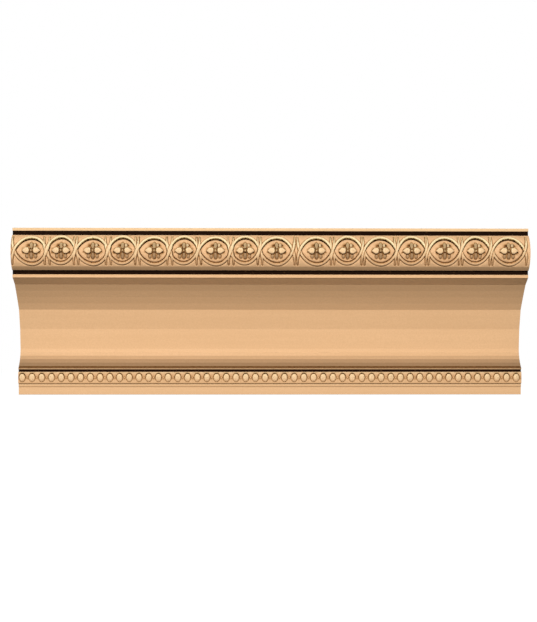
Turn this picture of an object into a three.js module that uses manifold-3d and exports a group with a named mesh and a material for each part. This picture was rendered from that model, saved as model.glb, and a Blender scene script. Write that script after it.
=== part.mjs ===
// A carved cornice moulding section, in millimetres with +Z up.
// It is one length of timber: a half-round carved with a chain of ringed rosettes,
// a deep cove under it and a row of beads above the foot band.
// X runs along the moulding, the carved front faces -Y and the flat back lies on y = 0.
// The origin is the middle of the back.
import * as THREE from 'three';
import { mergeVertices } from 'three/addons/utils/BufferGeometryUtils.js';
import Module from 'manifold-3d';

// Overall size of the piece.
const LENGTH = 500;
const HEIGHT = 163.5;

// Levels of the section, measured up from the foot.
const FOOT_BAND_TOP = 7.5;
const FOOT_FILLET_BOTTOM = 8.3;
const FOOT_FILLET_TOP = 10.8;
const BEAD_BAND_BOTTOM = 11.2;
const BEAD_BAND_TOP = 22.7;
const LOWER_QUIRK_TOP = 25.1;
const LIP_TOP = 26.3;
const FLARE_START = 28.3;
const COVE_DEEPEST = 45;
const COVE_ARRIS = 84.4;
const THROAT_TOP = 109;
const COVE_TOP = 115.4;
const MIDDLE_FILLET_TOP = 118.5;
const ROUND_BOTTOM = 122.5;
const ROUND_TOP = 156.4;
const TOP_FILLET_BOTTOM = 160.6;

// Depths of the section, measured forward from the flat back.
const FOOT_DEPTH = 22.6;
const FOOT_BAND_DEPTH = 22.7;
const FOOT_FILLET_DEPTH = 23.5;
const FOOT_QUIRK_DEPTH = 22.6;
const BEAD_BAND_DEPTH = 25.6;
const LOWER_QUIRK_DEPTH = 23.2;
const LIP_DEPTH = 24.8;
const FLARE_DEPTH = 22.4;
const COVE_DEPTH = 14;
const COVE_ARRIS_DEPTH = 22;
const THROAT_DEPTH = 42.4;
const COVE_TOP_DEPTH = 52.8;
const MIDDLE_FILLET_DEPTH = 53.4;
const UPPER_QUIRK_DEPTH = 52.5;
const ROUND_EDGE_DEPTH = 55;
const TOP_FILLET_DEPTH = 53.8;

// The half-round is an arc of this radius. The cove is worked in long flats that follow three curves:
// the flare over its lip, the belly, and the throat above its arris, whose slope is depth over height.
// One steeper flat leads from the throat to the top of the cove.
const ROUND_RADIUS = 22;
const ROUND_CURVE_STEPS = 3;
const COVE_ARRIS_SLOPE = 0.74;
const FLARE_FLATS = 5;
const BELLY_FLATS = 2;
const THROAT_FLATS = 4;

// Chain of rings on the half-round, worked in two runs with a wider gap between. Each run starts with
// a wide ring at its place from the middle of the piece, the pitch is from wide ring to wide ring, and
// a round ring lies between them at a share of the pitch.
const RING_RUNS = [
  { start: -230.4, pitch: 58.9, rings: 9 },
  { start: 43.5, pitch: 61.9, rings: 7 },
];
const ROUND_RING_SHARE = 0.485;
const ORNAMENT_RISE = 1.8;
const WIDE_ARCH_HALF_WIDTH = 17.7;
const ROUND_ARCH_HALF_WIDTH = 16;
const ARCH_RISE = 13;
const ARCH_SPRING = 10.7;
const ARCH_LEG_END = 13.4;
const ARCH_CURVE_STEPS = 4;
const STRAND_HALF_WIDTH = 1.25;
const STRAND_RELIEF = 1.5;
const CARVING_SINK = 2;

// Rosette in each ring: two drop-shaped buds, a petal over and under them, side lobes and a small button.
// The petal over the buds has one side lobe, the petal under them has two.
const BUD_TIP = 9.2;
const BUD_LENGTH = 7.4;
const BUD_RADIUS = 3.2;
const BUD_SHOULDER = Math.PI / 4;
const BUD_CURVE_STEPS = 2;
const BUD_RELIEF = 1.5;
const BUD_ROUNDING = 1.1;
const PETAL_UP = 5.15;
const PETAL_HALF_WIDTH = 1.55;
const PETAL_HALF_HEIGHT = 3.1;
const UPPER_LOBE_ACROSS = 3.3;
const UPPER_LOBE_UP = 5.5;
const LOWER_LOBE_ACROSS = 4.1;
const LOWER_LOBE_DOWN = 5.8;
const LOBE_HALF_WIDTH = 1.3;
const LOBE_HALF_HEIGHT = 1.8;
const LEAF_CURVE_STEPS = 3;
const LEAF_RELIEF = 0.8;
const BUTTON_HALF_WIDTH = 0.9;
const BUTTON_HALF_HEIGHT = 1.75;
const BUTTON_RELIEF = 1.4;

// Row of beads on its band.
const BEAD_COUNT = 52;
const BEAD_PITCH = 9.62;
const FIRST_BEAD = 4;
const BEAD_HALF_WIDTH = 3.05;
const BEAD_HALF_HEIGHT = 4.1;
const BEAD_RELIEF = 1.25;
const BEAD_SIDES = 8;
const BEAD_RINGS = 4;

const HALF_TURN = Math.PI;
const QUARTER_TURN = Math.PI / 2;
const ROUND_LEVEL = (ROUND_BOTTOM + ROUND_TOP) / 2;
const ROUND_HALF_ANGLE = Math.asin((ROUND_TOP - ROUND_BOTTOM) / 2 / ROUND_RADIUS);
const ROUND_AXIS_DEPTH = ROUND_EDGE_DEPTH - ROUND_RADIUS * Math.cos(ROUND_HALF_ANGLE);
const CARVING_ROOT_DEPTH = ROUND_EDGE_DEPTH - CARVING_SINK;
const ROUND_CREST_DEPTH = ROUND_AXIS_DEPTH + ROUND_RADIUS;
const MERGE_DISTANCE = 1e-5;
const TIMBER = { color: 0xe8b98c, roughness: 0.5, metalness: 0 };

const wasm = await Module();
wasm.setup();

// A closed geometry as a solid that can be joined to others.
function solidFrom(geometry) {
  const bare = geometry.clone();
  bare.deleteAttribute('normal');
  bare.deleteAttribute('uv');
  const merged = mergeVertices(bare, MERGE_DISTANCE);
  const mesh = new wasm.Mesh({
    numProp: 3,
    vertProperties: new Float32Array(merged.attributes.position.array),
    triVerts: new Uint32Array(merged.index.array),
  });
  return new wasm.Manifold(mesh);
}

function geometryFrom(solid) {
  const mesh = solid.getMesh();
  const geometry = new THREE.BufferGeometry();
  geometry.setAttribute('position', new THREE.BufferAttribute(mesh.vertProperties, 3));
  geometry.setIndex(new THREE.BufferAttribute(mesh.triVerts, 1));
  geometry.computeVertexNormals();
  return geometry;
}

function joined(solids) {
  return solids.reduce((whole, solid) => whole.add(solid));
}

// A point of the part from its place along the moulding, its depth and its level above the foot.
function place(along, depth, level) {
  return new THREE.Vector3(along, -depth, level - HEIGHT / 2);
}

// Long flats in the section, from where the outline has come to, that follow a curve.
function workFlats(shape, control, end, flats) {
  const curve = new THREE.QuadraticBezierCurve(shape.currentPoint.clone(), control, end);
  for (const spot of curve.getPoints(flats).slice(1)) {
    shape.lineTo(spot.x, spot.y);
  }
}

// The section across the moulding: depth to the right, level upwards.
function sectionShape() {
  const coveFlareLevel = (FLARE_START + COVE_DEEPEST) / 2;
  const coveBellyLevel = (COVE_DEEPEST + COVE_ARRIS) / 2;
  const coveThroatLevel = (COVE_ARRIS + THROAT_TOP) / 2;
  const coveThroatDepth = COVE_ARRIS_DEPTH + COVE_ARRIS_SLOPE * (coveThroatLevel - COVE_ARRIS);
  const flare = new THREE.Vector2(COVE_DEPTH, coveFlareLevel);
  const deepest = new THREE.Vector2(COVE_DEPTH, COVE_DEEPEST);
  const belly = new THREE.Vector2(COVE_DEPTH, coveBellyLevel);
  const arris = new THREE.Vector2(COVE_ARRIS_DEPTH, COVE_ARRIS);
  const throat = new THREE.Vector2(coveThroatDepth, coveThroatLevel);
  const throatTop = new THREE.Vector2(THROAT_DEPTH, THROAT_TOP);
  const shape = new THREE.Shape();
  shape.moveTo(0, 0);
  shape.lineTo(FOOT_DEPTH, 0);
  shape.lineTo(FOOT_BAND_DEPTH, FOOT_BAND_TOP);
  shape.lineTo(FOOT_FILLET_DEPTH, FOOT_FILLET_BOTTOM);
  shape.lineTo(FOOT_FILLET_DEPTH, FOOT_FILLET_TOP);
  shape.lineTo(FOOT_QUIRK_DEPTH, FOOT_FILLET_TOP);
  shape.lineTo(FOOT_QUIRK_DEPTH, BEAD_BAND_BOTTOM);
  shape.lineTo(BEAD_BAND_DEPTH, BEAD_BAND_BOTTOM);
  shape.lineTo(BEAD_BAND_DEPTH, BEAD_BAND_TOP);
  shape.lineTo(LOWER_QUIRK_DEPTH, BEAD_BAND_TOP);
  shape.lineTo(LOWER_QUIRK_DEPTH, LOWER_QUIRK_TOP);
  shape.lineTo(LIP_DEPTH, LOWER_QUIRK_TOP);
  shape.lineTo(LIP_DEPTH, LIP_TOP);
  shape.lineTo(FLARE_DEPTH, FLARE_START);
  workFlats(shape, flare, deepest, FLARE_FLATS);
  workFlats(shape, belly, arris, BELLY_FLATS);
  workFlats(shape, throat, throatTop, THROAT_FLATS);
  shape.lineTo(COVE_TOP_DEPTH, COVE_TOP);
  shape.lineTo(MIDDLE_FILLET_DEPTH, COVE_TOP);
  shape.lineTo(MIDDLE_FILLET_DEPTH, MIDDLE_FILLET_TOP);
  shape.lineTo(UPPER_QUIRK_DEPTH, MIDDLE_FILLET_TOP);
  shape.lineTo(UPPER_QUIRK_DEPTH, ROUND_BOTTOM);
  shape.absarc(ROUND_AXIS_DEPTH, ROUND_LEVEL, ROUND_RADIUS, -ROUND_HALF_ANGLE, ROUND_HALF_ANGLE);
  shape.lineTo(UPPER_QUIRK_DEPTH, ROUND_TOP);
  shape.lineTo(UPPER_QUIRK_DEPTH, TOP_FILLET_BOTTOM);
  shape.lineTo(TOP_FILLET_DEPTH, TOP_FILLET_BOTTOM);
  shape.lineTo(TOP_FILLET_DEPTH, HEIGHT);
  shape.lineTo(0, HEIGHT);
  shape.closePath();
  return shape;
}

// A section run along the whole moulding, both ends cut square.
function runAlong(shape) {
  const geometry = new THREE.ExtrudeGeometry(shape, {
    depth: LENGTH,
    steps: 1,
    curveSegments: ROUND_CURVE_STEPS,
    bevelEnabled: false,
  });
  const turn = new THREE.Matrix4().makeBasis(
    new THREE.Vector3(0, -1, 0),
    new THREE.Vector3(0, 0, 1),
    new THREE.Vector3(-1, 0, 0),
  );
  turn.setPosition(place(LENGTH / 2, 0, 0));
  return solidFrom(geometry.applyMatrix4(turn));
}

// The half-round grown by a carving's relief: the carving is cut back to it.
function crown(relief) {
  const radius = ROUND_RADIUS + relief;
  const shape = new THREE.Shape();
  shape.moveTo(ROUND_AXIS_DEPTH, ROUND_LEVEL);
  shape.absarc(ROUND_AXIS_DEPTH, ROUND_LEVEL, radius, -ROUND_HALF_ANGLE, ROUND_HALF_ANGLE);
  shape.closePath();
  return runAlong(shape);
}

// An outline drawn from the front, standing out of the half-round at a place along it.
function standing(shape, centre, depth, options) {
  const geometry = new THREE.ExtrudeGeometry(shape, { depth, steps: 1, bevelEnabled: false, ...options });
  const spot = place(centre, CARVING_ROOT_DEPTH, ROUND_LEVEL + ORNAMENT_RISE);
  return solidFrom(geometry.rotateX(QUARTER_TURN).translate(spot.x, spot.y, spot.z));
}

// Half of a ring: a stilted arch whose straight legs run on to the edge of the half-round.
// The upright arch has side 1, the inverted one side -1.
function archShape(halfWidth, side) {
  const spring = -side * ARCH_SPRING;
  const foot = -side * ARCH_LEG_END;
  const outer = halfWidth + STRAND_HALF_WIDTH;
  const inner = halfWidth - STRAND_HALF_WIDTH;
  const outerHeight = ARCH_SPRING + ARCH_RISE + STRAND_HALF_WIDTH;
  const innerHeight = ARCH_SPRING + ARCH_RISE - STRAND_HALF_WIDTH;
  const upright = side > 0;
  const shape = new THREE.Shape();
  shape.moveTo(-outer, foot);
  shape.absellipse(0, spring, outer, outerHeight, HALF_TURN, 0, upright);
  shape.lineTo(outer, foot);
  shape.lineTo(inner, foot);
  shape.absellipse(0, spring, inner, innerHeight, 0, HALF_TURN, !upright);
  shape.lineTo(-inner, foot);
  shape.closePath();
  return shape;
}

// A bud: a drop with its round end at the button and its point outwards, to the right or the left.
function budShape(side) {
  const middle = BUD_TIP - BUD_LENGTH + BUD_RADIUS;
  const start = side > 0 ? BUD_SHOULDER : HALF_TURN - BUD_SHOULDER;
  const shape = new THREE.Shape();
  shape.moveTo(side * BUD_TIP, 0);
  shape.absarc(side * middle, 0, BUD_RADIUS, start, -start, side < 0);
  shape.closePath();
  return shape;
}

function bud(centre, side) {
  const depth = ROUND_CREST_DEPTH + BUD_RELIEF - BUD_ROUNDING - CARVING_ROOT_DEPTH;
  return standing(budShape(side), centre, depth, {
    curveSegments: BUD_CURVE_STEPS,
    bevelEnabled: true,
    bevelThickness: BUD_ROUNDING,
    bevelSize: BUD_ROUNDING,
    bevelOffset: -BUD_ROUNDING,
    bevelSegments: 1,
  });
}

function oval(across, up, halfWidth, halfHeight) {
  const shape = new THREE.Shape();
  shape.absellipse(across, up, halfWidth, halfHeight, 0, 2 * HALF_TURN);
  return shape;
}

// The petals and side lobes round the button.
function leafShapes() {
  return [
    oval(0, PETAL_UP, PETAL_HALF_WIDTH, PETAL_HALF_HEIGHT),
    oval(0, -PETAL_UP, PETAL_HALF_WIDTH, PETAL_HALF_HEIGHT),
    oval(UPPER_LOBE_ACROSS, UPPER_LOBE_UP, LOBE_HALF_WIDTH, LOBE_HALF_HEIGHT),
    oval(LOWER_LOBE_ACROSS, -LOWER_LOBE_DOWN, LOBE_HALF_WIDTH, LOBE_HALF_HEIGHT),
    oval(-LOWER_LOBE_ACROSS, -LOWER_LOBE_DOWN, LOBE_HALF_WIDTH, LOBE_HALF_HEIGHT),
  ];
}

// The small pointed button between the buds.
function button(centre) {
  const geometry = new THREE.OctahedronGeometry(1);
  geometry.scale(BUTTON_HALF_WIDTH, BUTTON_RELIEF, BUTTON_HALF_HEIGHT);
  const spot = place(centre, ROUND_CREST_DEPTH, ROUND_LEVEL + ORNAMENT_RISE);
  return solidFrom(geometry.translate(spot.x, spot.y, spot.z));
}

// A row of shallow domes, each with its widest line on the face of the band.
function beadRow() {
  const level = (BEAD_BAND_BOTTOM + BEAD_BAND_TOP) / 2;
  const beads = Array.from({ length: BEAD_COUNT }, (_, index) => {
    const along = FIRST_BEAD + index * BEAD_PITCH - LENGTH / 2;
    const spot = place(along, BEAD_BAND_DEPTH, level);
    const geometry = new THREE.SphereGeometry(1, BEAD_SIDES, BEAD_RINGS);
    geometry.scale(BEAD_HALF_WIDTH, BEAD_RELIEF, BEAD_HALF_HEIGHT);
    return solidFrom(geometry.translate(spot.x, spot.y, spot.z));
  });
  return joined(beads);
}

// The rings with their rosettes, as one carving.
function ringChain() {
  const strands = [];
  const leaves = [];
  const middles = [];
  for (const { start, pitch, rings } of RING_RUNS) {
    for (let index = 0; index < rings; index += 1) {
      const isRound = index % 2 === 1;
      const centre = start + pitch * (Math.floor(index / 2) + (isRound ? ROUND_RING_SHARE : 0));
      const halfWidth = isRound ? ROUND_ARCH_HALF_WIDTH : WIDE_ARCH_HALF_WIDTH;
      for (const side of [1, -1]) {
        const arch = archShape(halfWidth, side);
        strands.push(standing(arch, centre, ROUND_RADIUS, { curveSegments: ARCH_CURVE_STEPS }));
        middles.push(bud(centre, side));
      }
      for (const shape of leafShapes()) {
        leaves.push(standing(shape, centre, ROUND_RADIUS, { curveSegments: LEAF_CURVE_STEPS }));
      }
      middles.push(button(centre));
    }
  }
  return joined([
    joined(strands).intersect(crown(STRAND_RELIEF)),
    joined(leaves).intersect(crown(LEAF_RELIEF)),
    joined(middles),
  ]);
}

function corniceMoulding() {
  const solid = joined([runAlong(sectionShape()), ringChain(), beadRow()]);
  const mesh = new THREE.Mesh(geometryFrom(solid), new THREE.MeshStandardMaterial(TIMBER));
  mesh.name = 'cornice_moulding';
  return mesh;
}

const cornice = new THREE.Group();
cornice.add(corniceMoulding());

export default cornice;
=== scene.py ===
"""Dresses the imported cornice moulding: one closed carved mesh, its timber finish and a plain studio."""
import math

import bpy
import numpy as np
from bpy.props import FloatProperty, FloatVectorProperty, IntProperty, PointerProperty
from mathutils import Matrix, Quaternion, Vector
from mathutils.geometry import delaunay_2d_cdt


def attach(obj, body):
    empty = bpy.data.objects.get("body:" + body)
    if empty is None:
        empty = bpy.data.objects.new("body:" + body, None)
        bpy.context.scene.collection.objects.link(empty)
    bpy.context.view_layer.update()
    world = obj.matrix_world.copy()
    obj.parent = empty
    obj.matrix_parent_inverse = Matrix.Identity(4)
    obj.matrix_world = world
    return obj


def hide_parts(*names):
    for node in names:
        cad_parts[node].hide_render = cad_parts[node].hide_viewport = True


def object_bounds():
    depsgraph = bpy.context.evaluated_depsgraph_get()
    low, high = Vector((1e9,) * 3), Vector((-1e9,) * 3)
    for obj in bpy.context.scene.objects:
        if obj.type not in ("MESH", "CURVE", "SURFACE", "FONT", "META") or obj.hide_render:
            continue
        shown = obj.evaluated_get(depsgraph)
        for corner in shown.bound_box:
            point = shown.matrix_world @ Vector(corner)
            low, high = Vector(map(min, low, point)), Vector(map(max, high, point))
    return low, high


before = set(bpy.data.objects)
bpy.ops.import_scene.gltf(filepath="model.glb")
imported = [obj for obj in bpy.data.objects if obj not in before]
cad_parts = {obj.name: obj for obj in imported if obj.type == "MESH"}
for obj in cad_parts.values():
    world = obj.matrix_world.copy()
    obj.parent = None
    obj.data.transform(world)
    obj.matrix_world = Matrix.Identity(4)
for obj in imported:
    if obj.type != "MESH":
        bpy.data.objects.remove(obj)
CAD_LOW, CAD_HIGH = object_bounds()

bl_info = {
    "name": "Carved Cornice Moulding",
    "version": (1, 0, 0),
    "blender": (4, 5, 0),
    "location": "View3D > Sidebar > Cornice",
    "description": "Carves a cornice moulding section with ringed rosettes, a cove and a row of beads",
    "category": "Add Mesh",
}

MM = 0.001
LENGTH = CAD_HIGH.x - CAD_LOW.x
HEIGHT = CAD_HIGH.z - CAD_LOW.z
ARCH_NOTE = "Left half width, right half width, and height or drop from the ring's middle"
PLACE_NOTE = "Place from the rosette's middle, across and up"


def length(label, note, millimetres):
    """A size in metres, given here in millimetres."""
    return FloatProperty(name=label, description=note, default=millimetres * MM, unit="LENGTH", precision=5)


def measure(kind, note):
    """A kind of size that many parts have, made from a part's name and its millimetres."""
    def made(part, millimetres):
        return length(f"{part} {kind}", note.format(part.lower()), millimetres)
    return made


level_of = measure("level", "Level of the {} above the foot")
depth_of = measure("depth", "Depth of the {} forward of the back")
half_width = measure("half width", "Half the width of the {}")
half_height = measure("half height", "Half the height of the {}")
relief_of = measure("relief", "How far the {} stands over its ground")


def lengths(label, note, millimetres):
    """Two or three sizes in metres, given here in millimetres."""
    return FloatVectorProperty(name=label, description=note, default=[size * MM for size in millimetres],
                               size=len(millimetres), unit="LENGTH", precision=5)


def number(label, note, value):
    """A count."""
    return IntProperty(name=label, description=note, default=value, min=1)


def ratio(label, note, value):
    """A share between 0 and 1."""
    return FloatProperty(name=label, description=note, default=value, min=0.0, max=1.0, precision=3)


def angle(label, note, degrees):
    """An angle, given here in degrees."""
    return FloatProperty(name=label, description=note, default=math.radians(degrees), subtype="ANGLE")


def power(label, note, watts):
    """The power of a light."""
    return FloatProperty(name=label, description=note, default=watts, unit="POWER")


def colour(label, note, value):
    """A linear colour."""
    return FloatVectorProperty(name=label, description=note, default=value, size=3, subtype="COLOR",
                               min=0.0, max=1.0)


class CorniceSection(bpy.types.PropertyGroup):
    """Section across the moulding: levels above the foot and depths forward of the back."""
    foot_band_top: level_of("Foot band's upper edge", 7.5)
    foot_fillet_bottom: level_of("Foot fillet's lower edge", 8.3)
    foot_fillet_top: level_of("Foot fillet's upper edge", 10.8)
    bead_band_bottom: level_of("Bead band's lower edge", 11.2)
    bead_band_top: level_of("Bead band's upper edge", 22.7)
    lower_quirk_top: level_of("Lip's lower edge", 25.1)
    lip_top: level_of("Lip's upper edge", 26.3)
    flare_start: level_of("Flare's lower edge", 28.3)
    cove_deepest: level_of("Cove's deepest line", 45.0)
    cove_arris: level_of("Cove's arris", 84.4)
    throat_top: level_of("Throat's upper edge", 109.0)
    cove_top: level_of("Cove's upper edge", 115.4)
    middle_fillet_top: level_of("Middle fillet's upper edge", 118.5)
    round_bottom: level_of("Half-round's lower edge", 122.5)
    round_top: level_of("Half-round's upper edge", 156.4)
    top_fillet_bottom: level_of("Top fillet's lower edge", 160.6)
    foot_depth: depth_of("Foot", 22.6)
    foot_band_depth: depth_of("Foot band's upper edge", 22.7)
    foot_fillet_depth: depth_of("Foot fillet", 23.5)
    foot_quirk_depth: depth_of("Quirk under the beads", 22.6)
    bead_band_depth: depth_of("Bead band", 25.6)
    lower_quirk_depth: depth_of("Quirk over the beads", 23.2)
    lip_depth: depth_of("Lip", 24.8)
    flare_depth: depth_of("Flare's lower edge", 22.4)
    cove_depth: depth_of("Cove's deepest line", 14.0)
    cove_arris_depth: depth_of("Cove's arris", 22.0)
    throat_depth: depth_of("Throat's upper edge", 42.4)
    cove_top_depth: depth_of("Cove's upper edge", 52.8)
    middle_fillet_depth: depth_of("Middle fillet", 53.4)
    upper_quirk_depth: depth_of("Quirks beside the half-round", 52.5)
    round_edge_depth: depth_of("Half-round's edges", 55.0)
    top_fillet_depth: depth_of("Top fillet", 53.8)
    round_radius: length("Half-round radius", "Radius of the half-round", 22.0)
    arris_slope: ratio("Arris slope", "Depth over height of the cove just above its arris", 0.74)
    # Painted shade: width of the darker strip along the half-round's lower edge.
    shade_strip_width: length("Edge stain", "Width of the stained strip along the half-round's lower edge", 3.75)
    easing: length("Easing", "How far each arris is rounded off", 0.35)


class RingChain(bpy.types.PropertyGroup):
    """Interlaced rings on the half-round, in two runs with a wider gap between. A ring is an upright arch
    over an inverted one. Each run starts with a wide ring, and a round one lies between two wide ones."""
    first_start: length("First run start", "Place of the first run's first ring", -230.4)
    first_pitch: length("First run pitch", "From wide ring to wide ring in the first run", 58.9)
    first_count: number("First run rings", "Number of rings in the first run", 9)
    second_start: length("Second run start", "Place of the second run's first ring", 43.5)
    second_pitch: length("Second run pitch", "From wide ring to wide ring in the second run", 61.9)
    second_count: number("Second run rings", "Number of rings in the second run", 7)
    round_share: ratio("Round ring place", "Place of a round ring between two wide ones", 0.485)
    wide_shift: length("Wide arch shift", "How far a wide inverted arch lies to the right", 0.7)
    round_shift: length("Round arch shift", "How far a round inverted arch lies to the right", -0.5)
    rise: length("Rise", "Height of the rosettes over the half-round's middle", 1.8)
    wide_upright: lengths("Wide upright arch", ARCH_NOTE, (18.3, 17.3, 12.8))
    wide_inverted: lengths("Wide inverted arch", ARCH_NOTE, (18.9, 16.4, 13.2))
    round_upright: lengths("Round upright arch", ARCH_NOTE, (16.0, 16.4, 13.6))
    round_inverted: lengths("Round inverted arch", ARCH_NOTE, (16.1, 15.6, 12.3))
    arch_spring: length("Arch spring", "Depth of an arch's springing below the ring's middle", 10.7)
    leg_end: length("Leg end", "Depth of a leg's end below the ring's middle", 13.4)
    strand_half: half_width("Strand", 1.25)
    strand_relief: relief_of("Strand", 1.25)
    leg_taper: ratio("Leg taper", "Share of its width and height that a leg loses towards its end", 0.55)
    crossing_lift: length("Crossing lift", "How far the upper strand rises at a crossing", 0.25)
    crossing_dip: ratio("Crossing dip", "Share of its relief that the lower strand loses", 0.85)
    crossing_gap: length("Crossing gap", "Length over which the lower strand dips", 0.9)
    groove_depth: length("Groove depth", "Depth of the cut line beside the strands", 0.55)
    groove_half: half_width("Cut line", 0.3)
    field_sink: length("Field sink", "Depth of a ring's field at its rim", 1.3)
    field_crown: length("Field crown", "How far a field rises towards its middle", 0.4)


class Rosette(bpy.types.PropertyGroup):
    """Flower in each ring: two buds, two leaves with a petal, side lobes and pits each, and a button."""
    bud_tip: length("Bud tip", "Distance of a bud's point from the middle", 9.2)
    bud_length: length("Bud length", "Length of a bud", 7.4)
    bud_radius: length("Bud radius", "Radius of a bud's round end", 3.2)
    bud_relief: relief_of("Bud", 2.2)
    leaf_relief: relief_of("Petal", 0.8)
    leaf_moat: length("Leaf moat", "Depth of the cut line round a petal or lobe", 0.6)
    moat_half: half_width("Leaf moat", 0.45)
    petal_up: length("Petal height", "Height of a petal's middle from the rosette's middle", 5.15)
    petal_half: half_width("Petal", 1.55)
    petal_reach: half_height("Petal", 3.1)
    upper_lobe: lengths("Upper side lobe", PLACE_NOTE, (3.3, 5.5))
    lower_lobe: lengths("Lower side lobe", PLACE_NOTE, (4.1, -5.8))
    lobe_half: half_width("Side lobe", 1.3)
    lobe_reach: half_height("Side lobe", 1.8)
    left_pit: lengths("Upper left pit", PLACE_NOTE, (-3.1, 5.4))
    left_pit_half: half_width("Left pit", 1.8)
    right_pit: lengths("Upper right pit", PLACE_NOTE, (5.1, 5.6))
    right_pit_half: half_width("Right pit", 1.1)
    upper_pit_reach: half_height("Upper pit", 2.3)
    upper_pit_lean: angle("Upper pit lean", "How far the upper pits lean towards each other", 42.0)
    lower_pit: lengths("Lower right pit", PLACE_NOTE, (2.5, -4.0))
    lower_pit_half: half_width("Lower pit", 1.4)
    lower_pit_reach: half_height("Lower pit", 2.3)
    button_half: half_width("Button", 0.72)
    button_reach: half_height("Button", 1.75)
    button_relief: relief_of("Button", 1.9)


class BeadRow(bpy.types.PropertyGroup):
    """Row of oval beads with a small link between neighbours."""
    count: number("Count", "Number of beads, the last one just past the right end", 53)
    pitch: length("Pitch", "Distance from bead to bead", 9.62)
    first: length("First bead", "Distance of the first bead's middle from the left end", 4.0)
    rise: length("Rise", "How far the beads lie above the middle of their band", 0.1)
    bead_half: half_width("Bead", 3.05)
    bead_reach: half_height("Bead", 4.1)
    relief: relief_of("Bead", 1.25)
    groove_depth: length("Groove depth", "Depth of the cut line round a bead", 1.0)
    groove_half: half_width("Cut line", 0.5)
    link_half: half_width("Link", 0.62)
    link_reach: half_height("Link", 0.9)
    link_relief: relief_of("Link", 0.7)


class TimberFinish(bpy.types.PropertyGroup):
    """Pale satin timber, with painted shade in the quirks and carved hollows and painted highlights on
    crests.
    """
    pale: colour("Pale timber", "Colour between the grain lines", (0.80, 0.495, 0.262))
    deep: colour("Deep timber", "Colour of the grain lines", (0.71, 0.425, 0.215))
    # Painted highlight: the pale yellow laid on upper crests, raised tops and upper edges.
    worn: colour("Worn edge", "Colour of rubbed edges and crests", (1.0, 0.90, 0.55))
    # Painted shade: the tints that a half, four fifths and a whole coat give; the darkest also makes the
    # neutral shade.
    thin_wash: colour("Thin wash", "What half a coat of the dark wash lets through", (0.57, 0.475, 0.335))
    deep_wash: colour("Deep wash", "What four fifths of a coat let through", (0.26, 0.18, 0.095))
    thick_wash: colour("Thick wash", "What the whole coat lets through", (0.014, 0.0068, 0.0022))
    end_grain: colour("End grain", "Colour of the dark rings on the cut ends", (0.56, 0.33, 0.17))
    roughness: ratio("Roughness", "Roughness of the satin finish", 0.55)
    sheen: ratio("Sheen", "Strength of the finish's highlights", 0.1)


class Studio(bpy.types.PropertyGroup):
    """Camera, lights and floor."""
    camera_distance: length("Camera distance", "From the camera to the flat back", 1173.3)
    camera_rise: length("Camera rise", "Camera height over the middle of the back", 1.45)
    camera_turn: angle("Camera turn", "How far the camera stands round to the left", 0.85)
    camera_roll: angle("Camera roll", "How far the camera is rolled to the right", 0.04)
    aim_across: length("Aim", "Where the camera points, from the middle of the moulding", -1.8)
    focal_length: FloatProperty(name="Focal length", description="Lens for a 36 mm sensor", default=66.87,
                                unit="CAMERA")
    key_height: angle("Key height", "Elevation of the main light", 20.0)
    key_turn: angle("Key turn", "How far the main light stands to the left", 6.0)
    light_distance: length("Light distance", "Distance of the lights", 2200.0)
    key_size: length("Key size", "Side of the main light", 450.0)
    key_power: power("Key power", "Power of the main light and the rear fill", 50.0)
    fill_size: length("Fill size", "Side of each fill light", 1600.0)
    fill_power: power("Fill power", "Power of the front fill", 10.0)
    left_power: power("Left power", "Power of the left fill", 35.0)
    floor_drop: length("Floor drop", "Distance of the floor below the foot", 300.0)
    floor_side: length("Floor side", "Side of the square floor", 12000.0)


class CorniceSettings(bpy.types.PropertyGroup):
    """All sizes and colours of the cornice and its studio."""
    section: PointerProperty(type=CorniceSection)
    rings: PointerProperty(type=RingChain)
    rosette: PointerProperty(type=Rosette)
    beads: PointerProperty(type=BeadRow)
    finish: PointerProperty(type=TimberFinish)
    studio: PointerProperty(type=Studio)


# Spacing of the mesh, chosen so that the carved piece stays under 200,000 triangles.
COLUMN_STEP = 10.0 * MM
STRAND_STEP = 0.6 * MM
STRAND_LINES = (0.0, 0.42, 0.74, 0.94, 1.2, 1.7)
PETAL_LINES = (0.0, 0.4, 0.68, 0.85, 0.94, 0.99, 1.05, 1.16)
PETAL_SIDES = 26
LOBE_LINES = (0.0, 0.45, 0.78, 0.98, 1.25, 1.6)
LOBE_SIDES = 18
BEAD_LINES = (0.0, 0.4, 0.7, 0.88, 0.98, 1.06, 1.16, 1.28)
BEAD_SIDES = 30
LINK_LINES = (0.0, 0.6, 1.0, 1.3)
LINK_SIDES = 10
FILL_STEP = 1.7 * MM
EDGE_STEP = 1.2 * MM
LEAST_GAP = 0.16 * MM
OVAL_SHIFT = 1e-3
MERGE_SHARE = 0.01
SHARP_ANGLE = math.radians(52)
SAWN_MARGIN = 0.01 * MM

# Section: the cove's flats, the plain strips beside the carving in easings, mouths of quirks, and easing.
THROAT_FLATS = 4
BELLY_FLATS = 2
FLARE_FLATS = 5
FLAT_SEAM = 0.03
ROUND_MARGIN = 2.2
BAND_MARGIN = 1.3
UPPER_MOUTH = 1.0 * MM
MOUTH = 0.8 * MM
LIP_CHAMFER = 0.3 * MOUTH
EASED_SHARES = (0.0, 0.33, 0.67, 1.0)
LONGEST_EASING = 0.4
STRAIGHT = 0.98

# Forms of the carving: least and greatest sizes, and shares of the part that each belongs to.
FAR = 1.0
TINY = 1e-9
THINNEST_BUD = 0.001 * MM
MIRRORED = Vector((-1.0, 1.0))
TAPER_START = 0.4
TAIL_INNER = 0.8
TAIL_OUTER = 1.6
DIP_START = 0.8
BUD_FULLNESS = 0.6
BUD_CREST = 0.3
LOBE_SHARE = 0.8
LOBE_LINE_SHARE = 0.6
LINE_OFFSET = 0.7
BEAD_LINE_OFFSET = 0.6
FIELD_RIM = 0.85
FIELD_CROWN_REACH = 7
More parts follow.
